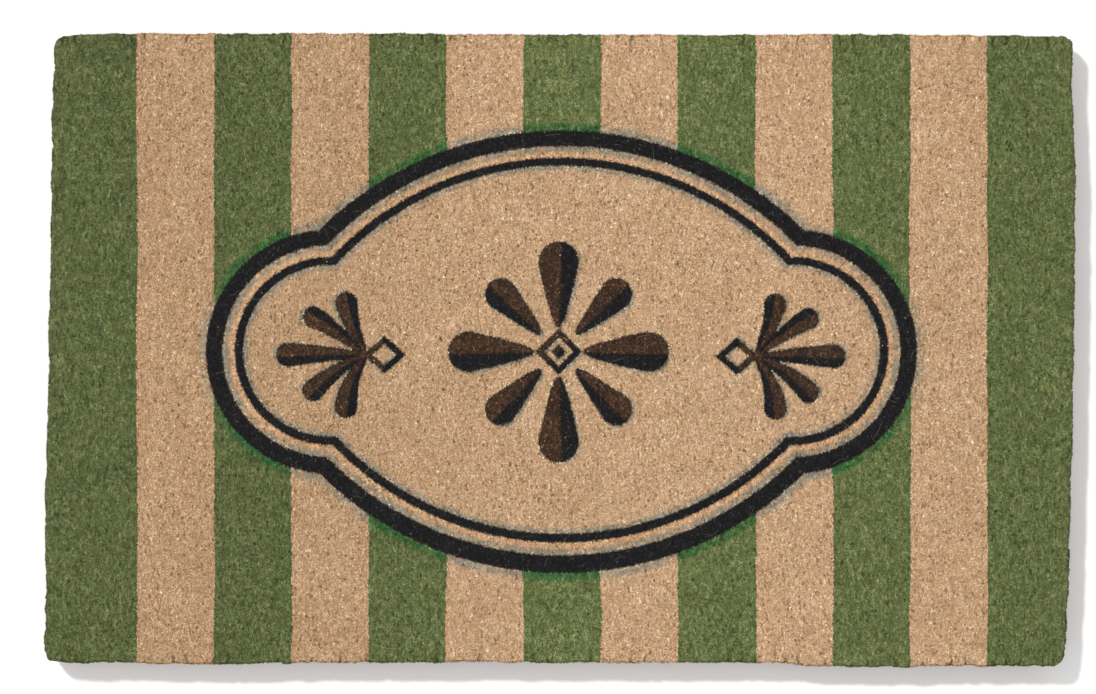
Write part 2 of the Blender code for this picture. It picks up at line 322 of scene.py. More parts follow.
def arch(share):
    return np.sin(math.pi * share)


def mixed(colour, other, share):
    """Each row's colour, turned towards the other by that row's share."""
    share = share[:, None]
    return colour * (1 - share) + other * share


def unit(vectors):
    return vectors / (np.linalg.norm(vectors, axis=-1, keepdims=True) + 1e-12)


def turned(angle):
    return np.stack([np.cos(angle), np.sin(angle)], -1)


def lattice_noise(x, y, size, seed):
    """Smooth noise from -1 to 1 over the plane, with features of about that size."""
    cells = int(4 * HALF_LENGTH / size) + 4
    lattice = np.random.default_rng(seed).uniform(-1, 1, (cells, cells))
    u = (x + 2 * HALF_LENGTH) / size
    v = (y + 2 * HALF_LENGTH) / size
    i, j = np.floor(u).astype(int), np.floor(v).astype(int)
    s, t = u - i, v - j
    s, t = s * s * (3 - 2 * s), t * t * (3 - 2 * t)
    i, j = i % (cells - 1), j % (cells - 1)
    near = lattice[i, j] * (1 - s) + lattice[i + 1, j] * s
    far = lattice[i, j + 1] * (1 - s) + lattice[i + 1, j + 1] * s
    return near * (1 - t) + far * t


def layered(x, y, layers):
    return sum(height * lattice_noise(x * squeeze, y, size, seed) for height, squeeze, size, seed in layers)


# ------------ outline of the pile


def waver(points, place):
    where, inset = zip(*points)
    return np.interp(place, where, inset) * MM


def stray(place, seed):
    """How far one side's line of tufts strays, in metres, at each place along it."""
    layers = ((BROAD_STRAY, 1, BROAD_BAY, seed), (FINE_STRAY, 1, FINE_BAY, seed + 60))
    return layered(place, 0 * place, layers)


def edge_depth(x, y):
    """How far inside the pile's outline each point lies, and the outward direction there."""
    v, u = y / HALF_WIDTH, x / HALF_LENGTH
    left = x + HALF_LENGTH - waver(LEFT_WAVER, v) - stray(y, 1)
    right = HALF_LENGTH - x - waver(RIGHT_WAVER, v) - stray(y, 2)
    front = y + HALF_WIDTH - waver(FRONT_WAVER, u) - stray(x, 3)
    back = HALF_WIDTH - y - waver(BACK_WAVER, u) - stray(x, 4)
    across, along = np.minimum(left, right), np.minimum(front, back)
    out_x = np.where(left < right, -1.0, 1.0)
    out_y = np.where(front < back, -1.0, 1.0)
    into_x = np.clip(CORNER_RADIUS - across, 0, None)
    into_y = np.clip(CORNER_RADIUS - along, 0, None)
    corner = (into_x > 0) & (into_y > 0)
    depth = np.where(corner, CORNER_RADIUS - np.hypot(into_x, into_y), np.minimum(across, along))
    weight_x = np.where(corner, into_x, across < along)
    weight_y = np.where(corner, into_y, across >= along)
    size = np.hypot(weight_x, weight_y) + 1e-9
    return depth, out_x * weight_x / size, out_y * weight_y / size


def bent(x, y):
    """Moves the plan of a piece with the mat's wavering outline."""
    u, v = np.clip(x / HALF_LENGTH, -1, 1), np.clip(y / HALF_WIDTH, -1, 1)
    from_left = waver(LEFT_WAVER, v) * smooth(*BENT_ALONG, -u)
    from_right = waver(RIGHT_WAVER, v) * smooth(*BENT_ALONG, u)
    from_front = waver(FRONT_WAVER, u) * smooth(*BENT_ACROSS, -v)
    from_back = waver(BACK_WAVER, u) * smooth(*BENT_ACROSS, v)
    return x + (from_left - from_right), y + (from_front - from_back)


def bend_path(path):
    x, y = bent(path[:, 0], path[:, 1])
    return np.stack([x, y, path[:, 2]], -1)


def stripe_index(x, y):
    """The stripe that each root stands in. The lines between stripes waver a little."""
    return np.searchsorted(STRIPE_LINES, x + layered(x, y, STRIPE_WANDER))


def is_green(stripe):
    return stripe % 2 == 0


def lottery(value):
    """A scramble of each value to between 0 and 1, always the same for the same value."""
    wild = np.sin(value) * 43758.5453
    return wild - np.floor(wild)


def creases(x, y):
    """Between 0 and 1, how far rows part where the pile hangs over the front and back edges."""
    from_end = HALF_WIDTH - np.abs(y)
    row = np.round(x / ROW_PITCH)
    chosen = lottery(row * 12.9898 + np.sign(y) * 4.7) > UNCREASED_SHARE
    reach = CREASE_LENGTH + CREASE_EXTRA * np.abs(np.sin(row * 7.13))
    off_row = np.abs(x + CREASE_WIND * np.sin(y / CREASE_WIND_PITCH + row) - row * ROW_PITCH)
    return chosen * (1 - smooth(CREASE_FULL * reach, reach, from_end)) * (1 - smooth(*CREASE_WALL, off_row))


def hollow(phase):
    return (0.5 + 0.5 * np.cos(math.tau * phase)) ** 3


def pile_height(x, y, depth):
    """The height of the clipped pile: nearly level, hollowed along rows and warps, and round at the edge."""
    rows = ROW_HOLLOW * hollow((x + layered(x, y, ROW_WANDER)) / ROW_PITCH)
    chains = CHAIN_HOLLOW * hollow((y + layered(x, y, CHAIN_WANDER)) / CHAIN_PITCH)
    inward = np.clip(1 - depth / EDGE_ROUNDING, 0, 1)
    rounding = EDGE_ROUNDING * (1 - np.sqrt(1 - ROUNDING_STEEPNESS * inward**2)) * ROUNDING_DROP
    level = MAT_TOP - TOP_ROOM + layered(x, y, BUMPS) - rows - chains
    return level - CREASE_DEPTH * creases(x, y) - rounding


# ------------ the printed design


def medallion_depth(x, y):
    """How far inside the medallion's outline each point lies: a lens with a round lobe at each end. Depth
    grows faster above the middle, so the lines are thinner there and thicker below."""
    x, y = x - MEDALLION_CENTRE[0], y - MEDALLION_CENTRE[1]
    lens = LENS_RADIUS - np.hypot(x, np.abs(y) + LENS_OFFSET)
    lobes = LOBE_RADIUS - np.hypot(np.abs(x) - LOBE_OFFSET, y * LOBE_FLATTENING)
    half_height = LENS_RADIUS - LENS_OFFSET
    return np.maximum(lens, lobes) * (1 + LINES_THICKEN * y / half_height)


def petal(x, y, root, bow, tip, root_half, tip_half):
    """How deep each point lies in a petal, and its place across it from -1 to 1. The petal's middle line
    curves from root to tip towards bow, and it widens to a round tip."""
    best = np.full(len(x), -1.0)
    across = np.zeros(len(x))
    for t in np.linspace(0, 1, PETAL_STEPS):
        a, b, c = (1 - t) ** 2, 2 * t * (1 - t), t**2
        mid_x, mid_y = a * root + b * bow + c * tip
        run_x, run_y = (1 - t) * (bow - root) + t * (tip - bow)
        run = math.hypot(run_x, run_y)
        half = root_half + (tip_half - root_half) * t**PETAL_SWELL
        off_x, off_y = x - mid_x, y - mid_y
        depth = half - np.hypot(off_x, off_y)
        closer = depth > best
        best = np.where(closer, depth, best)
        across = np.where(closer, (run_x * off_y - run_y * off_x) / run / half, across)
    return best, across


def diamond_ring(x, y, centre, half_length, half_height, wall):
    """How deep each point lies in the wall of a diamond-shaped ring."""
    slope = math.hypot(half_length, half_height)
    reach = np.abs(x - centre[0]) * half_height + np.abs(y - centre[1]) * half_length
    inside = (half_length * half_height - reach) / slope
    return np.minimum(inside, wall - inside)


def centre_petals():
    """Petals round the mat's middle, long ones along the axes and shorter ones between."""
    petals = []
    for k in range(CENTRE_PETAL_COUNT):
        turn = math.radians(360 / CENTRE_PETAL_COUNT * k)
        tip, tip_half = LONG_PETAL if k % 2 == 0 else SHORT_PETAL
        places = [
            (CENTRE_HUB[0] / MM + reach * math.cos(turn), CENTRE_HUB[1] / MM + reach * math.sin(turn))
            for reach in (CENTRE_ROOT, CENTRE_BOW, tip)
        ]
        # the brown side is the one that faces the upper left
        left_x, left_y = -math.sin(turn), math.cos(turn)
        petals.append((*places, CENTRE_ROOT_HALF, tip_half, 1 if left_y - 0.9 * left_x > 0 else -1))
    return petals


CENTRE_PETALS = centre_petals()


def lay_petals(x, y, petals, ink, nearest):
    """Inks the petals black, with a broad brown stripe along one side of each."""
    for root, bow, tip, root_half, tip_half, brown_side in petals:
        places = (np.multiply(place, MM) for place in (root, bow, tip))
        depth, across = petal(x, y, *places, root_half * MM, tip_half * MM)
        inked = depth > 0
        ink[inked] = INK_BLACK
        ink[inked & (across * brown_side > BROWN_FROM) & (depth > BROWN_RIM)] = INK_BROWN
        np.maximum(nearest, depth, out=nearest)


def lay_ornaments(x, y, ink, nearest):
    """Inks the petals, hub and diamond of each side, mirrored, then the petals and diamonds of the middle."""
    mirrored = np.where(x > 0, -x - SIDE_MIRROR_SHIFT, x)
    side_y = y + np.where(x > 0, RIGHT_SIDE_DROP, LEFT_SIDE_DROP)
    lay_petals(mirrored, side_y, SIDE_PETALS, ink, nearest)
    hub = SIDE_HUB_RADIUS - np.hypot(mirrored - SIDE_HUB[0], side_y - SIDE_HUB[1])
    ring = np.maximum(diamond_ring(mirrored, side_y, SIDE_DIAMOND, *SIDE_DIAMOND_SIZES), hub)
    ink[ring > 0] = INK_BLACK
    ink[(ring > SIDE_BROWN_RIM) & (mirrored < SIDE_DIAMOND[0] - SIDE_BROWN_FROM)] = INK_BROWN
    np.maximum(nearest, ring, out=nearest)
    lay_petals(x, y, CENTRE_PETALS, ink, nearest)
    for half, wall in CENTRE_DIAMONDS:
        ring = diamond_ring(x, y, CENTRE_HUB, half, half, wall)
        ink[ring > 0] = INK_BLACK
        ink[(ring > BROWN_RIM) & (x - y < CENTRE_HUB[0] - CENTRE_HUB[1])] = INK_BROWN
        np.maximum(nearest, ring, out=nearest)


def design(x, y):
    """The ink at each point, how deep it lies in an ornament's shapes (negative outside them), and how deep
    in the medallion."""
    depth = medallion_depth(x, y)
    ink = np.full(len(x), INK_CLEAR, np.int8)
    nearest = np.full(len(x), -1.0)
    near = np.flatnonzero((depth > LINE_TO) & (np.abs(y) < ORNAMENT_REACH))
    near_ink, near_depth = ink[near], nearest[near]
    lay_ornaments(x[near], y[near], near_ink, near_depth)
    ink[near], nearest[near] = near_ink, near_depth
    band = (depth > 0) & (depth < BAND_WIDTH)
    line = (depth > LINE_FROM) & (depth < LINE_TO)
    ink[band | line] = INK_BLACK
    return ink, nearest, depth


def brightening_along(points, x):
    where, strength = zip(*points)
    return np.interp(x / HALF_LENGTH, where, strength)[:, None]


def beside_line(x):
    """1 at a line between stripes and 0 by a few mm from it."""
    gap = np.abs(x[:, None] - np.array(STRIPE_LINES)).min(1)
    return 1 - smooth(*STRIPE_EDGE, gap)


def dye_colours(x, dyed, edge):
    """The colour of the fibre before any ink, a little changed at the lines between stripes."""
    strength = brightening_along(NATURAL_BRIGHTENING, x)
    natural = linear(NATURAL) * strength * (1 + (strength - 1) * NATURAL_PALING)
    green = linear(GREEN) * brightening_along(GREEN_BRIGHTENING, x)
    return np.where(dyed[:, None], green * (1 + edge * GREEN_EDGE), natural * (1 + edge * NATURAL_EDGE))


def ornament_shadow(x, y, nearest, depth):
    """Between 0 and 1, how far each point lies in the pale shadow beside an ornament."""
    at_side = np.abs(x) > SIDE_ORNAMENTS_FROM
    shift_x = np.where(at_side, np.sign(x) * SIDE_SHADOW[0], CENTRE_SHADOW[0])
    shift_y = np.where(at_side, SIDE_SHADOW[1], CENTRE_SHADOW[1])
    shifted = design(x - shift_x, y - shift_y)[1]
    return smooth(*SHADOW_EDGE, shifted) * (nearest < 0) * (depth > LINE_TO)


def print_colours(x, y, stripe, rng):
    """The colour of each fibre tip, in linear RGB, and whether it is inked: dye, then overspray, then ink."""
    ink, nearest, depth = design(x, y)
    inside = depth > 0
    dyed = is_green(stripe) & ~inside
    colour = dye_colours(x, dyed, (beside_line(x) * ~inside)[:, None])

    # overspray, round the band, past the thin line and beside the ornaments
    patchy = np.clip(HALO_STRENGTH + layered(x, y, HALO_PATCHES), 0, 1)
    outer = smooth(*OUTER_HALO, depth) * ~inside
    outer = outer * patchy * (1 - SIDE_HALO_LOSS * smooth(*SIDE_HALO, np.abs(x)))
    colour = mixed(colour, np.where(dyed[:, None], linear(GREEN_HALO), linear(GREY_HALO)), outer)
    inner = 1 - smooth(*INNER_HALO, depth - BAND_WIDTH)
    in_gap = (depth > BAND_WIDTH) & (depth < LINE_FROM)
    colour = np.where(in_gap[:, None], mixed(linear(WARM_STRIP), linear(GREY_HALO), inner * patchy), colour)
    past_line = (depth > LINE_TO) * (1 - smooth(*PAST_LINE_HALO, depth - LINE_TO))
    grey = np.clip(past_line + ornament_shadow(x, y, nearest, depth), 0, 1) * patchy
    colour = mixed(colour, linear(GREY_HALO), grey)

    # ink, which misses a few fibres
    taken = rng.random(len(x)) > MISSED_SHARE
    black = (ink == INK_BLACK) & taken
    brown = (ink == INK_BROWN) & taken
    colour[(ink != INK_CLEAR) & ~taken] *= MISSED_SHADE
    colour[black] = linear(BLACK_INK)
    colour[brown] = linear(BROWN_INK)
    return colour, black | brown


def spots(x, y, cell, radius, share, seed):
    """Between 0 and 1, how far each point lies in a scattered spot. Each square cell has one or none."""
    cells = int(2.4 * HALF_LENGTH / cell)
    rng = np.random.default_rng(seed)
    place = rng.uniform(0.12, 0.88, (cells, cells, 2))
    size = radius * rng.uniform(0.5, 1.3, (cells, cells)) * (rng.random((cells, cells)) < share)
    strength = rng.uniform(0.25, 1, (cells, cells))
    u, v = x / cell + cells / 2, y / cell + cells / 2
    i, j = np.floor(u).astype(int) % cells, np.floor(v).astype(int) % cells
    off_x = (u - np.floor(u) - place[i, j, 0]) * cell
    off_y = (v - np.floor(v) - place[i, j, 1]) * cell
    away = np.hypot(off_x, off_y * 0.7) / np.maximum(size[i, j], 1e-9)
    return strength[i, j] * (1 - smooth(0.6, 1.25, away))


def fibre_variation(x, y, inked, dyed, rng):
    """A multiplier of each tuft's colour: fibres differ singly and in clumps, with dark flecks of husk and a
    few pale fibres. Dyed fibres differ more."""

    def by_dye(pair):
        return np.where(dyed, *pair)

    count = len(x)
    single = rng.normal(0, 1, count)
    clumps = layered(x, y, CLUMPS)
    streaks = layered(x, y, STREAKS)
    grain = by_dye(SINGLE_GRAIN) * single + by_dye(CLUMP_GRAIN) * clumps + STREAK_GRAIN * streaks
    bright = np.exp(by_dye(GRAIN_CONTRAST) * grain + layered(x, y, SWELL))
    bright *= 1 - HUSK_DARKNESS * spots(x, y, *HUSK_FLECKS)
    bright *= 1 - by_dye(LONG_DARKNESS) * spots(x, y * LONG_FLECK_STRETCH, *LONG_FLECKS)
    pale_single = 1.0 * (rng.random(count) > PALE_SINGLES_FROM)
    pale = np.maximum(spots(x + PALE_FLECK_SHIFT, y, *PALE_FLECKS), pale_single)
    bright *= 1 + by_dye(PALE_BRIGHTNESS) * pale
    glint = 1 + INKED_GLINT * (rng.random(count) > INKED_DULL_SHARE)
    bright = np.where(inked, np.exp(INKED_GRAIN * single + INKED_GRAIN * clumps) * glint, bright)
    # bright fibres are also paler, and dark ones browner
    paling = np.where(dyed[:, None], DYED_PALING, UNDYED_PALING) * ~inked[:, None]
    shift = np.clip(bright - 1, *PALING_LIMITS)[:, None] * paling
    return np.clip(bright[:, None] * (1 + shift + rng.normal(0, HUE_SPREAD, (count, 3))), 0, None)


# ------------ mesh building


def placed(name, data):
    thing = bpy.data.objects.new(name, data)
    bpy.context.scene.collection.objects.link(thing)
    return thing


def make_mesh(name, points, faces, colours, normals=None):
    """An object from arrays. faces is a list of (corners, places on the map or None), alike in corner count,
    and colours and normals go by point."""
    corners = np.concatenate([f.ravel() for f, _ in faces]).astype(np.int32)
    sizes = np.concatenate([np.full(len(f), f.shape[1]) for f, _ in faces])
    mesh = bpy.data.meshes.new(name)
    mesh.vertices.add(len(points))
    mesh.vertices.foreach_set("co", points.astype(np.float32).ravel())
    mesh.loops.add(len(corners))
    mesh.loops.foreach_set("vertex_index", corners)
    mesh.polygons.add(len(sizes))
    starts = np.concatenate([[0], np.cumsum(sizes)[:-1]]).astype(np.int32)
    mesh.polygons.foreach_set("loop_start", starts)
    mesh.update(calc_edges=True)
    mesh.shade_smooth()
    tint = mesh.attributes.new("tint", "FLOAT_COLOR", "POINT")
    rgba = np.concatenate([np.clip(colours, 0, 1), np.ones((len(colours), 1))], 1)
    tint.data.foreach_set("color", rgba.astype(np.float32).ravel())
    if faces[0][1] is not None:
        layer = mesh.uv_layers.new(name="OFBake")
        places = np.concatenate([uv.reshape(-1, 2) for _, uv in faces])
        layer.data.foreach_set("uv", places.astype(np.float32).ravel())
    if normals is not None:
        mesh.normals_split_custom_set_from_vertices(normals)
    return placed(name, mesh)


def settle(thing, slot, material, *nodes):
    """Puts the piece on the mat's one body, with its finish."""
    thing.data.materials.append(material)
    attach(thing, BODY)
    if nodes:
        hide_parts(*nodes)


def strand_faces(count, levels):
    """The faces of that many closed strands of so many levels, each in a cell of the map."""
    across = math.ceil(math.sqrt(count))
    cell = 1 / across
    order = np.arange(count)
    pad = 0.1 * cell
    left = ((order % across) * cell)[:, None] + pad
    low = ((order // across) * cell)[:, None]
    wide, tall = (cell - 2 * pad) / (STRAND_SIDES + 1), (cell - 2 * pad) / (levels - 1)
    first = (order * levels * STRAND_SIDES)[:, None]
    quads, quad_uv = [], []
    for j in range(levels - 1):
        this, above = j * STRAND_SIDES, (j + 1) * STRAND_SIDES
        for k in range(STRAND_SIDES):
            nxt = (k + 1) % STRAND_SIDES
            quads.append(first + np.array([this + k, this + nxt, above + nxt, above + k]))
            u = left + wide * np.array([k, k + 1, k + 1, k])
            v = low + pad + tall * np.array([j, j, j + 1, j + 1])
            quad_uv.append(np.stack([u, v], -1))
    around = np.arange(STRAND_SIDES)
    turn = math.tau * around / STRAND_SIDES
    caps = []
    for ring, at in ((around[::-1], 0.25), ((levels - 1) * STRAND_SIDES + around, 0.75)):
        u = left + wide * (STRAND_SIDES + 0.5 + 0.4 * np.cos(turn))
        v = low + cell * at + 0.4 * wide * np.sin(turn)
        caps.append((first + ring, np.stack([u, v], -1)))
    return [(np.concatenate(quads), np.concatenate(quad_uv))] + caps


def strands(paths, radii, turn):
    """Points of tubes round many paths at once: paths is (count, levels, 3), radii (count, levels)."""
    run = unit(np.gradient(paths, axis=1))
    pole = np.where(np.abs(run[..., 2:]) > 0.8, np.array([1.0, 0, 0]), np.array([0, 0, 1.0]))
    side = unit(np.cross(pole, run))
    up = np.cross(run, side)
    angle = turn[:, None] + math.tau * np.arange(STRAND_SIDES) / STRAND_SIDES
    cos, sin = np.cos(angle)[:, None, :, None], np.sin(angle)[:, None, :, None]
    ring = side[:, :, None, :] * cos + up[:, :, None, :] * sin
    return (paths[:, :, None, :] + ring * radii[:, :, None, None]).reshape(-1, 3)


def add_strands(name, slot, material, paths, radii, turn, colours):
    """One piece of many strands, coloured by level."""
    count, levels = paths.shape[:2]
    tints = np.repeat(colours[:, :, None, :], STRAND_SIDES, axis=2).reshape(-1, 3)
    thing = make_mesh(name, strands(paths, radii, turn), strand_faces(count, levels), tints)
    settle(thing, slot, material)


def yarn_map(count, sides, rows):
    """The places on the map of a yarn's faces and of its two ends. The yarn is folded into that many rows."""
    ring = np.arange(sides)
    step = np.arange(count - 1)
    per_row = math.ceil((count - 1) / rows)
    row, place = step // per_row, step % per_row
    v0 = (row[:, None] + 0.06 + 0.84 * ring / sides) / rows
    v1 = (row[:, None] + 0.06 + 0.84 * (ring + 1) / sides) / rows
    u0 = np.broadcast_to(0.01 + 0.98 * (place / per_row)[:, None], v0.shape)
    u1 = np.broadcast_to(0.01 + 0.98 * ((place + 1) / per_row)[:, None], v0.shape)
    corners = [np.stack(corner, -1) for corner in ((u0, v0), (u0, v1), (u1, v1), (u1, v0))]
    angle = math.tau * ring / sides
    end_v = 0.5 / rows + 0.2 / rows * np.sin(angle)
    ends = [np.stack([np.clip(at + 0.002 * np.cos(angle), 0, 1), end_v], -1)[None] for at in (0.002, 0.998)]
    return np.stack(corners, 2).reshape(-1, 4, 2), ends


def yarn(name, path, width, height, plane_up, make, colour, rng):
    """A twisted yarn along one path: a tube of lobed section that turns as it goes, closed at both ends. Its
    height is measured along plane_up and its width across it."""
    plies, pitch, groove_depth, sides, rows = make
    count = len(path)
    run = unit(np.gradient(path, axis=0))
    side = unit(np.cross(plane_up, run))
    up = np.cross(run, side)
    far = np.concatenate([[0], np.cumsum(np.linalg.norm(np.diff(path, axis=0), axis=1))])
    angle = math.tau * np.arange(sides) / sides
    twist = angle[None, :] - math.tau * far[:, None] / pitch
    lobed = 1 - groove_depth + groove_depth * np.cos(plies * twist)
    lobed = lobed * (1 + YARN_FUZZ * rng.normal(0, 1, (count, sides)))
    ends = np.ones(count)
    ends[0] = ends[-1] = YARN_END
    reach = lobed * ends[:, None]
    sideways = side[:, None, :] * (reach * np.cos(angle) * width / 2)[..., None]
    upwards = up[:, None, :] * (reach * np.sin(angle) * height / 2)[..., None]
    points = path[:, None, :] + sideways + upwards
    ring = np.arange(sides)
    nxt = (ring + 1) % sides
    first = (np.arange(count - 1) * sides)[:, None]
    here, there = first + ring, first + nxt
    quads = np.stack([here, there, there + sides, here + sides], -1).reshape(-1, 4)
    quad_uv, end_uv = yarn_map(count, sides, rows)
    caps = [(ring[::-1][None, :], end_uv[0]), (((count - 1) * sides + ring)[None, :], end_uv[1])]
    outer = (lobed - lobed.min()) / (np.ptp(lobed) + 1e-9)
    shade = GROOVE_SHADE + (1 - GROOVE_SHADE) * outer
    shade = shade * np.exp(rng.normal(0, YARN_SHADE_SPREAD, (count, sides)))
    colours = linear(colour) * shade.reshape(-1, 1)
    return make_mesh(name, points.reshape(-1, 3), [(quads, quad_uv)] + caps, colours)


# ------------ materials


def new_material(name):
    material = bpy.data.materials.new(name)
    material.use_nodes = True
    tree = material.node_tree
    return tree, tree.nodes["Principled BSDF"], material


def set_inputs(node, **values):
    """Sets inputs by name, where an underscore stands for a space."""
    for name, value in values.items():
        node.inputs[name.replace("_", " ")].default_value = value


def fed_node(tree, kind, feeds, **values):
    """A new node whose inputs are fed by the outputs of others, or set."""
    made = tree.nodes.new(kind)
    for name, output in feeds.items():
        tree.links.new(output, made.inputs[name])
    set_inputs(made, **values)
    return made


def coir_material(name, stretch, grain, contrast, bump):
    """Coir whose tint is on the mesh. Fine noise, stretched along the fibre, varies its colour, gloss and
    surface."""

    def ranged(low, high):
        feeds = {"Value": streaks}
        return fed_node(tree, "ShaderNodeMapRange", feeds, To_Min=low, To_Max=high).outputs["Result"]

    tree, shader, material = new_material(name)
    link = tree.links.new
    tint = tree.nodes.new("ShaderNodeAttribute")
    tint.attribute_name = "tint"
    place = tree.nodes.new("ShaderNodeTexCoord").outputs["Object"]
    mapping = fed_node(tree, "ShaderNodeMapping", {"Vector": place}, Scale=stretch)
    feeds = {"Vector": mapping.outputs["Vector"]}
    streaks = fed_node(tree, "ShaderNodeTexNoise", feeds, Scale=grain, Detail=3.0).outputs["Fac"]
    shaded = tree.nodes.new("ShaderNodeMix")
    shaded.data_type, shaded.blend_type = "RGBA", "MULTIPLY"
    set_inputs(shaded, Factor=1.0)
    link(tint.outputs["Color"], shaded.inputs["A"])
    link(ranged(1 - contrast, 1 + contrast), shaded.inputs["B"])
    link(shaded.outputs["Result"], shader.inputs["Base Color"])
    link(ranged(*COIR_ROUGHNESS), shader.inputs["Roughness"])
    lumps = fed_node(tree, "ShaderNodeBump", {"Height": streaks}, Strength=bump, Distance=BUMP_DISTANCE)
    link(lumps.outputs["Normal"], shader.inputs["Normal"])
    set_inputs(shader, Specular_IOR_Level=0.25, Sheen_Weight=0.08, Sheen_Roughness=0.5)
    return material


# ------------ pile


def hex_grid(spacing):
    """The points of a staggered grid over the mat and a margin round it."""
    reach_x, reach_y = HALF_LENGTH + GRID_MARGIN, HALF_WIDTH + GRID_MARGIN
    rows = np.arange(-reach_y, reach_y, spacing * math.sqrt(3) / 2)
    columns = np.arange(-reach_x, reach_x, spacing)
    x, y = np.meshgrid(columns, rows)
    return (x + (np.arange(len(rows)) % 2)[:, None] * spacing / 2).ravel(), y.ravel()


def tuft_map(place, angle):
    """Where a block's tufts are on the map. Each is a hexagon, its top inside and its flanks folded out. They
    lie apart as the even grid's own places do, and the block is folded into columns."""
    low_corner, span = place.min(0) - TUFT_SPACING, np.ptp(place, axis=0) + 2 * TUFT_SPACING
    tall = 1 - 2 * MAP_EDGE
    up = (place[:, 1] - low_corner[1]) / span[1] * MAP_COLUMNS
    column = np.minimum(np.floor(up), MAP_COLUMNS - 1)
    scale = np.array([MAP_COLUMN_WIDTH / span[0], MAP_COLUMNS * tall / span[1]])
    centre_u = MAP_EDGE + column / MAP_COLUMNS + (place[:, 0] - low_corner[0]) * scale[0]
    centre = np.stack([centre_u, MAP_EDGE + (up - column) * tall], -1)
    reach = MAP_TUFT * TUFT_SPACING * scale

    def on_map(*angles):
        return np.stack([centre + reach * turned(a) for a in angles], 1)

    corners = angle.T
    flanks = [on_map(corners[b], corners[a], corners[a] + math.pi / 3) for a, b in TUFT_FLANKS]
    return on_map(*corners), flanks


def tuft_block(name, place, jitter, stripe, material, rng):
    """One block of cut tufts. Each is a bundle that narrows to its root, with a three-cornered cut top."""
    count = len(place)
    x, y = (place + jitter).T
    depth, out_x, out_y = edge_depth(x, y)
    size = rng.uniform(*TUFT_RADIUS, count) * TUFT_SPACING
    turn = rng.uniform(0, math.tau, count)
    angle = turn[:, None] + math.tau * np.arange(3) / 3
    tilt = rng.normal(0, TUFT_TILT, count)
    tilt_turn = rng.uniform(0, math.tau, count)
    top_z = pile_height(x, y, depth) + rng.normal(0, TUFT_UNEVENNESS, count) * MM
    low = rng.random(count) < LOW_TUFTS
    top_z = np.where(low, top_z - rng.uniform(*LOW_TUFT_DROP, count) * MM, top_z)
    top_x = x[:, None] + size[:, None] * np.cos(angle)
    top_y = y[:, None] + TUFT_BREADTH * size[:, None] * np.sin(angle)
    corner_z = top_z[:, None] + (tilt * size)[:, None] * np.cos(angle - tilt_turn[:, None])
    lean = rng.normal(0, TUFT_LEAN, (count, 2)) * MM - np.stack([out_x, out_y], 1) * EDGE_LEAN * MM
    root = np.stack([x + lean[:, 0], y + lean[:, 1], top_z - TUFT_LENGTH], -1)
    points = np.concatenate([np.stack([top_x, top_y, corner_z], -1), root[:, None, :]], 1).reshape(-1, 3)

    first = np.arange(count)[:, None] * 4
    flanks = [first + np.array([b, a, 3]) for a, b in TUFT_FLANKS]
    top_map, flank_maps = tuft_map(place, angle)
    faces = [(first + np.arange(3), top_map)] + list(zip(flanks, flank_maps))

    tint, inked = print_colours(top_x.ravel(), top_y.ravel(), np.repeat(stripe, 3), rng)
    dyed = is_green(stripe) & (medallion_depth(x, y) < 0)
    varied = fibre_variation(x, y, inked.reshape(-1, 3).any(1), dyed, rng)
    shade = (1 - CREASE_SHADE * creases(x, y))[:, None]
    top_tint = tint.reshape(-1, 3, 3) * (varied * shade)[:, None, :]
    colours = np.concatenate([top_tint, top_tint[:, :1] * ROOT_SHADE], 1).reshape(-1, 3)

    slope = tilt[:, None] * turned(tilt_turn)
    around = turned(angle) * TOP_ROUNDNESS - slope[:, None, :]
    lying = np.concatenate([around, -slope[:, None, :]], 1)
    normals = unit(np.concatenate([lying, np.ones((count, 4, 1))], 2).reshape(-1, 3))
    slot = "green_pile" if "green" in name else "natural_pile"
    settle(make_mesh(name, points, faces, colours, normals), slot, material)


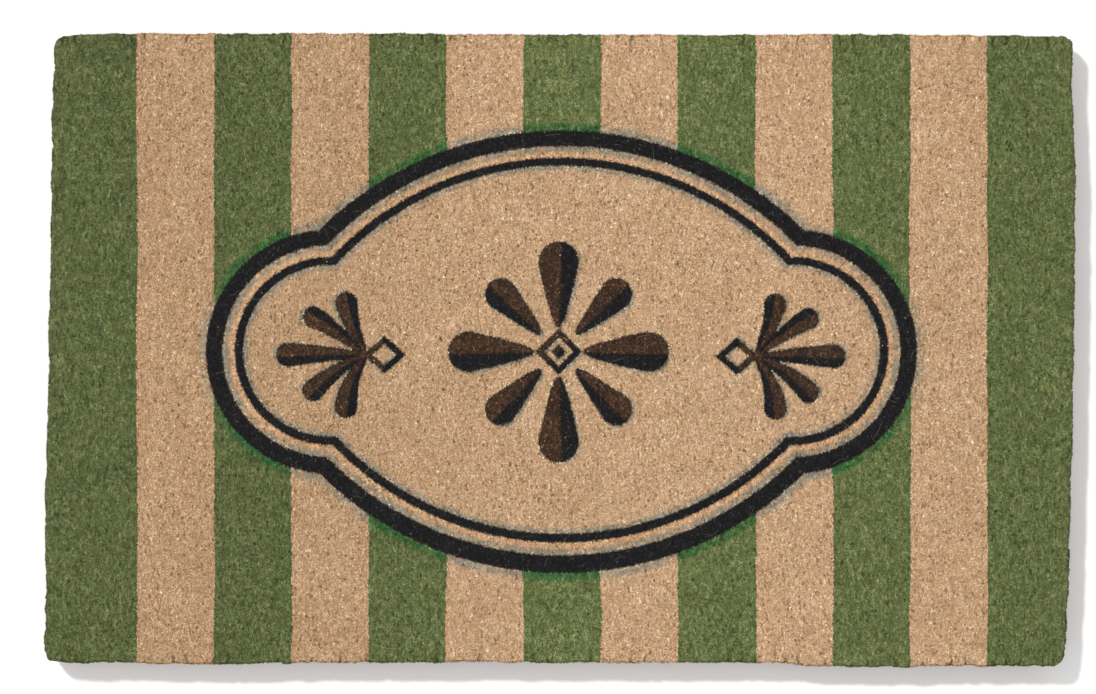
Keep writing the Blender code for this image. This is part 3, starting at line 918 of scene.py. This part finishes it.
def felt_block(node_name, index, material, rng):
    """The dense fibre below the tips of one stripe, as a closed slab with a rough top and underside."""
    low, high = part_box(node_name)
    inset = RIM_DEPTH - FELT_OVERLAP
    low_x = low.x + (inset if index == 0 else FELT_GAP)
    high_x = high.x - (inset if index == len(PILE_NODES) - 1 else FELT_GAP)
    half_y = HALF_WIDTH - inset
    columns = max(8, round((high_x - low_x) / FELT_SPACING))
    rows = round(2 * half_y / FELT_SPACING)
    s, t = np.meshgrid(np.linspace(0, 1, columns + 1), np.linspace(-1, 1, rows + 1), indexing="ij")
    x, y = bent((low_x + (high_x - low_x) * s).ravel(), (half_y * t).ravel())
    depth, _, _ = edge_depth(x, y)
    count = x.size
    top_z = pile_height(x, y, depth) - FELT_DEPTH + rng.normal(0, FELT_ROUGHNESS, count) * MM
    floor_z = PILE_BOTTOM + np.abs(rng.normal(0, FELT_UNDERSIDE_ROUGHNESS, count)) * MM
    points = np.concatenate([np.stack([x, y, top_z], -1), np.stack([x, y, floor_z], -1)])
    grid = np.arange(count).reshape(s.shape)
    cells = np.stack([grid[:-1, :-1], grid[1:, :-1], grid[1:, 1:], grid[:-1, 1:]], -1).reshape(-1, 4)
    ring = np.concatenate([grid[:, 0], grid[-1, 1:], grid[-2::-1, -1], grid[0, -2:0:-1]])
    following = np.roll(ring, -1)
    wall = np.stack([following, ring, ring + count, following + count], -1)
    faces = np.concatenate([cells, cells[:, ::-1] + count, wall[:, ::-1]])
    tint, _ = print_colours(x, y, stripe_index(x, y), rng)
    top = tint * (FELT_SHADE * np.exp(rng.normal(0, 0.12, count)))[:, None]
    underside = linear(RAW_COIR) * np.exp(rng.normal(UNDERSIDE_SHADE, 0.2, count))[:, None]
    name = node_name.replace("pile_", "felt_")
    felt = make_mesh(name, points, [(faces, None)], np.concatenate([top, underside]))
    settle(felt, "green_pile" if is_green(index) else "natural_pile", material, node_name)


def build_pile(tips, felt):
    rng = np.random.default_rng(SEED)
    x, y = hex_grid(TUFT_SPACING)
    jitter = rng.uniform(-TUFT_JITTER, TUFT_JITTER, (len(x), 2)) * TUFT_SPACING
    depth, _, _ = edge_depth(x, y)
    keep = depth > RIM_DEPTH * 0.5
    place, jitter = np.stack([x, y], -1)[keep], jitter[keep]
    stripe = stripe_index(*(place + jitter).T)
    share = (place[:, 1] + HALF_WIDTH) / (2 * HALF_WIDTH)
    block = np.clip((share * len(BLOCK_NAMES)).astype(int), 0, len(BLOCK_NAMES) - 1)
    for i, node_name in enumerate(PILE_NODES):
        for b, block_name in enumerate(BLOCK_NAMES):
            mine = (stripe == i) & (block == b)
            name = f"{node_name.replace('pile_', 'tufts_')}_{block_name}"
            tuft_block(name, place[mine], jitter[mine], stripe[mine], tips, rng)
        felt_block(node_name, i, felt, rng)


def rim_colours(x, y, heights, rng):
    """The colour of each level of the rim's tufts: their print and dye above, and raw coir below."""
    count, share = len(x), np.array(RIM_LEVELS)[:, 0]
    stripe = stripe_index(x, y)
    tint, inked = print_colours(x, y, stripe, rng)
    varied = fibre_variation(x, y, inked, is_green(stripe), rng)
    varied = varied * (1 - RIM_CREASE_SHADE * creases(x, y))[:, None]
    soaked = DYE_DEPTH * (1 + rng.normal(0, DYE_DEPTH_SPREAD, count))[:, None]
    dyed = smooth(*DYE_FRONT, (heights - MAT_TOP) / soaked + 1)[..., None]
    raw = linear(RAW_COIR) * np.exp(rng.normal(0, RAW_SPREAD, (count, 1)))
    colours = (tint * RIM_TINT * varied)[:, None, :] * dyed + raw[:, None, :] * (1 - dyed)
    return colours * (RIM_ROOT_SHADE + (1 - RIM_ROOT_SHADE) * smooth(0, RIM_ROOT_SHADE_TO, share))[:, None]


def build_rims(material):
    """The outermost tufts, seen along their whole length. They splay over the braid, and the dye reaches only
    their upper part."""
    rng = np.random.default_rng(SEED + 1)
    x, y = (at + rng.uniform(-RIM_JITTER, RIM_JITTER, len(at)) * RIM_SPACING for at in hex_grid(RIM_SPACING))
    depth, out_x, out_y = edge_depth(x, y)
    keep = (depth > RIM_OUTERMOST) & (depth < RIM_DEPTH)
    x, y, depth, out_x, out_y = (values[keep] for values in (x, y, depth, out_x, out_y))
    count = len(x)
    top_z = pile_height(x, y, depth) + rng.normal(0, RIM_UNEVENNESS, count) * MM
    root_z = RIM_ROOT_Z + rng.uniform(0, 1.0, count) * MM + RIM_ROOT_RISE * depth
    share, splay = np.array(RIM_LEVELS).T
    # tufts of one yarn lean together
    clump, sway = layered(x, y, RIM_CLUMPS), layered(x, y, RIM_SWAY)
    outward = splay[None, :] * MM * (1 - 0.5 * depth[:, None] / RIM_DEPTH) + clump[:, None] * arch(share)
    stray_aside = rng.normal(0, RIM_WANDER, (count, len(share))) * MM * share
    aside = sway[:, None] * share * RIM_SWAY_SHARE + stray_aside
    path_x = x[:, None] + out_x[:, None] * outward - out_y[:, None] * aside
    path_y = y[:, None] + out_y[:, None] * outward + out_x[:, None] * aside
    path_z = root_z[:, None] + (top_z - root_z)[:, None] * share
    paths = np.stack([path_x, path_y, path_z], -1)
    radii = rng.uniform(*RIM_RADIUS, count)[:, None] * MM * np.array(RIM_TAPER)
    colours = rim_colours(x, y, path_z, rng)
    turn = rng.uniform(0, math.tau, count)
    endwise = np.abs(out_x) >= np.abs(out_y)
    sides = {
        "left": endwise & (out_x < 0),
        "right": endwise & (out_x > 0),
        "front": ~endwise & (out_y < 0),
        "back": ~endwise & (out_y > 0),
    }
    for side, mine in sides.items():
        name = f"edge_tufts_{side}"
        add_strands(name, "green_pile", material, paths[mine], radii[mine], turn[mine], colours[mine])


def fibre_plan(count, levels, length, curl, rng):
    """The x and y of curved fibres that lie anywhere on the mat, each (count, levels)."""
    x = rng.uniform(-FIBRE_SPAN, FIBRE_SPAN, count) * HALF_LENGTH
    y = rng.uniform(-FIBRE_SPAN, FIBRE_SPAN, count) * HALF_WIDTH
    heading = rng.uniform(0, math.tau, count)[:, None]
    bend = heading + rng.normal(0, curl, count)[:, None] * np.linspace(-1, 1, levels)
    step = length[:, None] / levels
    return x[:, None] + np.cumsum(np.cos(bend), 1) * step, y[:, None] + np.cumsum(np.sin(bend), 1) * step


def loose_fibres(name, count, levels, lengths, curl, thickness, rise, material, rng):
    """Single fibres on the pile. rise(share, chance) is how far each point stands above the tufts."""
    path_x, path_y = fibre_plan(count, levels, rng.uniform(*lengths, count) * MM, curl, rng)
    flat_x, flat_y = path_x.ravel(), path_y.ravel()
    depth, _, _ = edge_depth(flat_x, flat_y)
    inside = (depth.reshape(count, levels) > FIBRE_MARGIN).all(1)
    lifted = rise(np.linspace(0, 1, levels)[None, :], rng.random(count)[:, None])
    path_z = pile_height(flat_x, flat_y, depth).reshape(count, levels) + lifted * MM
    paths = np.stack([path_x, path_y, path_z], -1)[inside]
    kept = inside.sum()
    taper = np.array([0.5] + [1] * (levels - 2) + [0.5])
    radii = rng.uniform(0.6, 1.0, kept)[:, None] * thickness * MM * taper
    tint, inked = print_colours(flat_x, flat_y, stripe_index(flat_x, flat_y), rng)
    tint, inked = tint.reshape(count, levels, 3)[inside], inked.reshape(count, levels)[inside]
    colour = 0.4 * linear(PALE_FIBRE) + 0.6 * tint
    dark = rng.random(kept) < DARK_FIBRES
    colour[dark] = tint[dark] * 0.5
    colour = np.where(inked[..., None], 0.2 * linear(PALE_FIBRE) + tint, colour)
    add_strands(name, "natural_pile", material, paths, radii, rng.uniform(0, 6, kept), colour)


# ------------ weave, plaits and lashing


def evenly(points, spacing):
    """The same path with evenly spaced points."""
    points = np.asarray(points, float)
    gaps = np.linalg.norm(np.diff(points, axis=0), axis=1)
    far = np.concatenate([[0], np.cumsum(gaps)])
    places = np.linspace(0, far[-1], max(3, round(far[-1] / spacing)))
    return np.stack([np.interp(places, far, points[:, k]) for k in range(3)], -1)


def lay_weft(material, rng):
    """The weft, to and fro with a round turn after each pass. Gives the last pass's x and the pitch."""
    low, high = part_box("weft_yarn")
    middle_z, thickness = ((low + high) / 2).z, high.z - low.z
    last_x = high.x - thickness / 2
    pitch = 2 * last_x / (WEFT_PASSES - 1)
    turn_y = high.y - thickness / 2 - pitch / 2
    points = []
    for i in range(WEFT_PASSES):
        pass_x, end = -last_x + pitch * i, 1 if i % 2 == 0 else -1
        points += [(pass_x, -end * turn_y, middle_z), (pass_x, end * turn_y, middle_z)]
        if i < WEFT_PASSES - 1:
            for angle in np.linspace(0, math.pi, WEFT_TURN_POINTS)[1:-1]:
                turn_x = pass_x + pitch / 2 * (1 - math.cos(angle))
                points.append((turn_x, end * (turn_y + pitch / 2 * math.sin(angle)), middle_z))
    path = bend_path(evenly(points, WEFT_STEP))
    weft = yarn("weft_twist", path, thickness, thickness, (0, 0, 1), WEFT_MAKE, YARN_COIR, rng)
    settle(weft, "weave_yarn", material, "weft_yarn")
    return last_x, pitch


def lay_warp(name, last_x, pitch, material, rng):
    """One warp, doubled round the last pass at one end, with one leg under the weft and one over it."""
    low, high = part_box(name)
    middle = (low + high) / 2
    turn_radius = (high.z - low.z - WARP_HEIGHT) / 2
    flip = 1 if abs(high.x) > abs(low.x) else -1
    loop = max(abs(low.x), abs(high.x)) - WARP_HEIGHT / 2 - turn_radius
    cut = min(abs(low.x), abs(high.x))
    legs = [(-cut, 0, low.z + WARP_HEIGHT / 2)]
    for angle in np.linspace(-math.pi / 2, math.pi / 2, WARP_TURN_POINTS):
        legs.append((loop + turn_radius * math.cos(angle), 0, middle.z + turn_radius * math.sin(angle)))
    legs.append((-cut, 0, high.z - WARP_HEIGHT / 2))
    path = evenly(legs, WARP_STEP)
    # the legs press in a little between the passes of the weft
    between = 0.5 - 0.5 * np.cos(math.tau * (path[:, 0] + last_x) / pitch)
    path[:, 2] += WARP_PRESS * between * (path[:, 0] < loop) * np.sign(middle.z - path[:, 2])
    path[:, 0] *= flip
    path[:, 1] += middle.y
    # its turn stands upright, so the yarn's width is measured up and down, and its height to the side
    sizes = WARP_HEIGHT * WARP_FILL, (high.y - low.y) * WARP_FILL
    title = name.replace("yarn", "twist")
    made = yarn(title, bend_path(path), *sizes, (0, 1, 0), WARP_MAKE, YARN_COIR, rng)
    settle(made, "weave_yarn", material, name)


def build_weave(material):
    rng = np.random.default_rng(SEED + 3)
    last_x, pitch = lay_weft(material, rng)
    for name in sorted(n for n in frame["nodes"] if n.startswith("warp_yarn")):
        lay_warp(name, last_x, pitch, material, rng)


def edge_piece(name):
    """The length, breadth and height of a piece along one edge, and a function that lays a path in it, from
    its middle so far along, across and up."""
    low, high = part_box(name)
    middle = (low + high) / 2
    length, breadth = high.x - low.x, high.y - low.y
    lengthwise = length > breadth
    if not lengthwise:
        length, breadth = breadth, length

    def laid(along, across, up):
        x, y = (along, across) if lengthwise else (across, along)
        return np.stack([x + middle.x, y + middle.y, middle.z + up], -1)

    return length, breadth, high.z - low.z, laid


def plait(side, material, rng):
    """Three twisted strands laid over and under one another along one edge."""
    length, breadth, tall, laid = edge_piece(f"edge_braid_{side}")
    width, height = STRAND_WIDTH * breadth, STRAND_HEIGHT * tall
    sway, lift = (breadth - width) / 2, (tall - height) / 2
    s = np.linspace(-length / 2 + PLAIT_END, length / 2 - PLAIT_END, round(length / STRAND_STEP))
    for k in range(STRANDS):
        phase = math.tau * (s / PLAIT_PITCH + k / STRANDS)
        path = bend_path(laid(s, sway * np.sin(phase), lift * np.sin(2 * phase)))
        name = f"braid_{side}_{k + 1}"
        strand = yarn(name, path, width, height, (0, 0, 1), STRAND_MAKE, YARN_COIR, rng)
        settle(strand, "edge_braid", material, f"edge_braid_{side}")


def lashing(side, material, rng):
    """Twine wound round a plait in rounded turns. It bites into the strands by part of its own thickness."""
    length, breadth, tall, laid = edge_piece(f"lashing_{side}")
    turns = max(2, round(length / LASHING_SPACING))
    t = np.linspace(0, 1, turns * LASHING_POINTS)
    angle = math.tau * turns * t + LASHING_START
    across, up = (np.sign(c) * np.abs(c) ** LASHING_SQUARENESS for c in (np.cos(angle), np.sin(angle)))
    across = across * (breadth - 2 * TWINE_THICKNESS) / 2
    up = up * (tall - TWINE_BITE * TWINE_THICKNESS) / 2
    path = bend_path(evenly(laid((length - 2 * TWINE_THICKNESS) * (t - 0.5), across, up), TWINE_STEP))
    sizes = TWINE_THICKNESS, TWINE_THICKNESS
    made = yarn(f"twine_{side}", path, *sizes, (0.3, 0.3, 0.9), TWINE_MAKE, TWINE_COLOUR, rng)
    settle(made, "lashing_twine", material, f"lashing_{side}")


# ------------ floor, light and camera


def add_floor():
    """A level floor that rises gently far from the mat, so that no horizon shows."""
    turns = [math.tau * k / FLOOR_STEPS for k in range(FLOOR_STEPS)]
    rings = [(r * math.cos(turn), r * math.sin(turn), z) for r, z in FLOOR_PROFILE for turn in turns]
    faces = []
    for k in range(FLOOR_STEPS):
        nxt = (k + 1) % FLOOR_STEPS
        faces.append((0, 1 + k, 1 + nxt))
        for ring in range(len(FLOOR_PROFILE) - 1):
            low, high = 1 + ring * FLOOR_STEPS, 1 + (ring + 1) * FLOOR_STEPS
            faces.append((low + k, high + k, high + nxt, low + nxt))
    mesh = bpy.data.meshes.new("floor")
    mesh.from_pydata([(0, 0, 0)] + rings, [], faces)
    mesh.shade_smooth()
    floor = placed("floor", mesh)
    _, shader, material = new_material("pale_floor")
    set_inputs(shader, Base_Color=(0.9, 0.9, 0.9, 1), Roughness=0.9, Specular_IOR_Level=0.1)
    set_inputs(shader, Emission_Color=(1, 1, 1, 1), Emission_Strength=0.10)
    mesh.materials.append(material)


def add_light():
    world = bpy.data.worlds.new("studio")
    world.use_nodes = True
    set_inputs(world.node_tree.nodes["Background"], Color=(1, 1, 1, 1), Strength=SKY_STRENGTH)
    bpy.context.scene.world = world
    lamp = bpy.data.lights.new("key", "SUN")
    lamp.energy = SUN_STRENGTH
    lamp.angle = SUN_SIZE
    key = placed("key", lamp)
    key.rotation_euler = Vector(SUN_FROM).to_track_quat("Z", "Y").to_euler()


def add_camera():
    """Straight above the mat, a little left of its centre."""
    lens = bpy.data.cameras.new("camera")
    lens.sensor_width = SENSOR_WIDTH
    lens.lens = SENSOR_WIDTH * (CAMERA_PLACE[2] - MAT_TOP) / VIEW_WIDTH
    lens.clip_end = 50
    camera = placed("camera", lens)
    camera.location = CAMERA_PLACE
    bpy.context.scene.camera = camera


# ------------ the whole scene

finishes = {name: coir_material(name, *finish) for name, finish in FINISHES.items()}
build_pile(finishes["coir_tips"], finishes["coir_felt"])
build_rims(finishes["coir_tips"])
fibre_rng = np.random.default_rng(SEED + 2)
for kind, sizes in LOOSE_FIBRES.items():
    loose_fibres(kind, *sizes, finishes["coir_tips"], fibre_rng)
build_weave(finishes["coir_yarn"])
edge_rng = np.random.default_rng(SEED + 4)
for edge in ("front", "back", "left", "right"):
    plait(edge, finishes["coir_braid"], edge_rng)
    lashing(edge, finishes["twine"], edge_rng)

bpy.context.scene.view_settings.view_transform = "Standard"
add_floor()
add_light()
add_camera()
